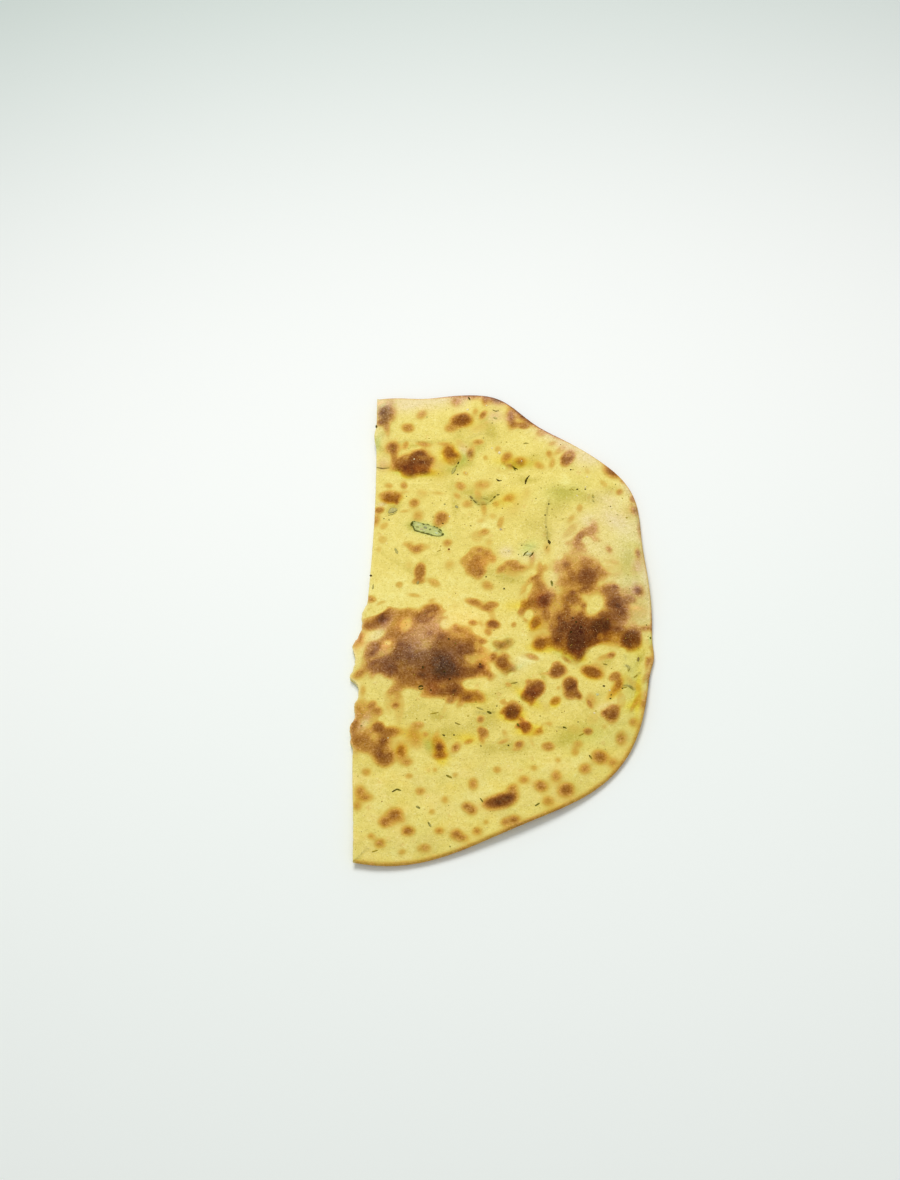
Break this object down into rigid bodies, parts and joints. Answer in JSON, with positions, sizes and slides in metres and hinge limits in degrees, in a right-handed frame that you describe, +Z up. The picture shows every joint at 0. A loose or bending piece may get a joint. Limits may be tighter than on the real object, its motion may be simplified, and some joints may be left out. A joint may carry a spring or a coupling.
{
  "type": "missi roti",
  "caption": "Half of a missi roti: a thin griddle-baked gram flour flatbread with a round rim, a straight cut edge torn in the middle, and a blistered, browned face.",
  "frame": {"origin": "bottom centre of the half roti's box, on the table it lies on", "axes": "+Y along the straight cut, +X from the cut towards the round side, +Z up out of the browned face"},
  "size_m": [0.1122, 0.198, 0.005],
  "materials": {
    "bread": null
  },
  "bodies": {
    "root": {"roti_half": "bread"}
  },
  "joints": []
}
